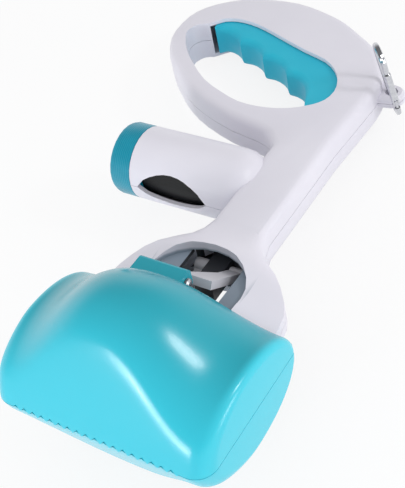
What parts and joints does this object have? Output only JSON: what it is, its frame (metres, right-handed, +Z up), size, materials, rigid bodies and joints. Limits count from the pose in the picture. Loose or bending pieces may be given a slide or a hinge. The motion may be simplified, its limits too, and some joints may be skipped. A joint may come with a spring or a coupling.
{
  "type": "pooper scooper",
  "caption": "Short hand-held scooper: a finger trigger in a loop handle opens two toothed clam-shell jaws, with a bag dispenser tube on its side and a snap hook.",
  "frame": {"origin": "centre of the bounding box's foot, on the floor that the part lies on", "axes": "+X to the right across the jaws, +Y from the jaws to the loop, +Z up; the part lies on its back, tipped 8.8 degrees about X"},
  "size_m": [0.1724, 0.2962, 0.098],
  "materials": {
    "handle_plastic": "satin moulded, pale lavender grey",
    "grip_plastic": "soft satin, cyan blue",
    "inner_plastic": "satin moulded, pale grey",
    "yoke_plastic": "satin moulded, dark grey",
    "jaw_plastic": "glossy moulded, cyan blue",
    "cap_plastic": "glossy moulded, teal blue",
    "steel": "bright drawn wire and turned pins",
    "chrome_wire": "bright plated wire",
    "bag_film": "black wound film",
    "card": "brown card"
  },
  "bodies": {
    "handle": {"front_handle_shell": "handle_plastic", "rear_handle_shell": "handle_plastic", "left_hinge_pin": "steel", "right_hinge_pin": "steel", "return_spring": "steel", "housing_screw_1": "steel", "housing_screw_2": "steel", "housing_screw_3": "steel", "housing_screw_4": "steel", "housing_screw_5": "steel", "housing_screw_6": "steel", "housing_screw_7": "steel"},
    "trigger": {"trigger_grip": "grip_plastic", "trigger_carrier": "yoke_plastic", "pull_rod": "steel", "rod_pin": "steel", "yoke": "yoke_plastic", "yoke_pin": "steel"},
    "front_jaw_body": {"front_jaw": "jaw_plastic", "front_link_pin": "steel"},
    "rear_jaw_body": {"rear_jaw": "jaw_plastic", "rear_link_pin": "steel"},
    "front_link_body": {"front_link": "inner_plastic"},
    "rear_link_body": {"rear_link": "inner_plastic"},
    "cap": {"dispenser_cap": "cap_plastic"},
    "bags": {"bag_roll": "bag_film", "bag_roll_core": "card"},
    "snap_hook": {"carabiner_body": "chrome_wire", "carabiner_gate_pin": "chrome_wire"},
    "snap_gate": {"carabiner_gate": "chrome_wire"}
  },
  "joints": [
    {"name": "trigger_squeeze", "type": "slide", "parent": "handle", "child": "trigger", "axis": [0, 0.9892, -0.1465], "range_m": [0, 0.0095], "stiffness_N_per_m": 600, "springref_m": -0.01, "deforming": ["return_spring"]},
    {"name": "front_jaw_hinge", "type": "hinge", "parent": "handle", "child": "front_jaw_body", "pos_m": [0.03175, -0.0775, 0.04428], "axis": [1, 0, 0], "range_deg": [-22, 0]},
    {"name": "rear_jaw_hinge", "type": "hinge", "parent": "handle", "child": "rear_jaw_body", "pos_m": [0.03175, -0.0775, 0.04428], "axis": [1, 0, 0], "range_deg": [0, 22]},
    {"name": "front_link_hinge", "type": "hinge", "parent": "front_jaw_body", "child": "front_link_body", "pos_m": [0.03175, -0.07188, 0.06518], "axis": [1, 0, 0], "range_deg": [0, 26.7]},
    {"name": "rear_link_hinge", "type": "hinge", "parent": "rear_jaw_body", "child": "rear_link_body", "pos_m": [0.03175, -0.07818, 0.02265], "axis": [1, 0, 0], "range_deg": [-26.7, 0]},
    {"name": "cap_pull", "type": "slide", "parent": "handle", "child": "cap", "axis": [-1, 0, 0], "range_m": [0, 0.03]},
    {"name": "bag_roll_spin", "type": "hinge", "parent": "handle", "child": "bags", "pos_m": [-0.02495, 0.00757, 0.03168], "axis": [1, 0, 0], "continuous": true},
    {"name": "snap_hook_swing", "type": "hinge", "parent": "handle", "child": "snap_hook", "pos_m": [0.0555, 0.09135, 0.01927], "axis": [0.7464, 0.6586, 0.0953], "range_deg": [0, 85]},
    {"name": "snap_gate_hinge", "type": "hinge", "parent": "snap_hook", "child": "snap_gate", "pos_m": [0.0584, 0.08731, 0.02443], "axis": [0.7464, 0.6586, 0.0953], "range_deg": [-20, 0], "stiffness_Nm_per_rad": 0.01, "springref_deg": 17.19}
  ],
  "couplings": [
    {"joint": "front_jaw_hinge", "follows": "trigger_squeeze", "rad_per_m": -40.253},
    {"joint": "rear_jaw_hinge", "follows": "trigger_squeeze", "rad_per_m": 40.253},
    {"joint": "front_link_hinge", "follows": "trigger_squeeze", "rad_per_m": 48.872},
    {"joint": "rear_link_hinge", "follows": "trigger_squeeze", "rad_per_m": -48.872}
  ]
}
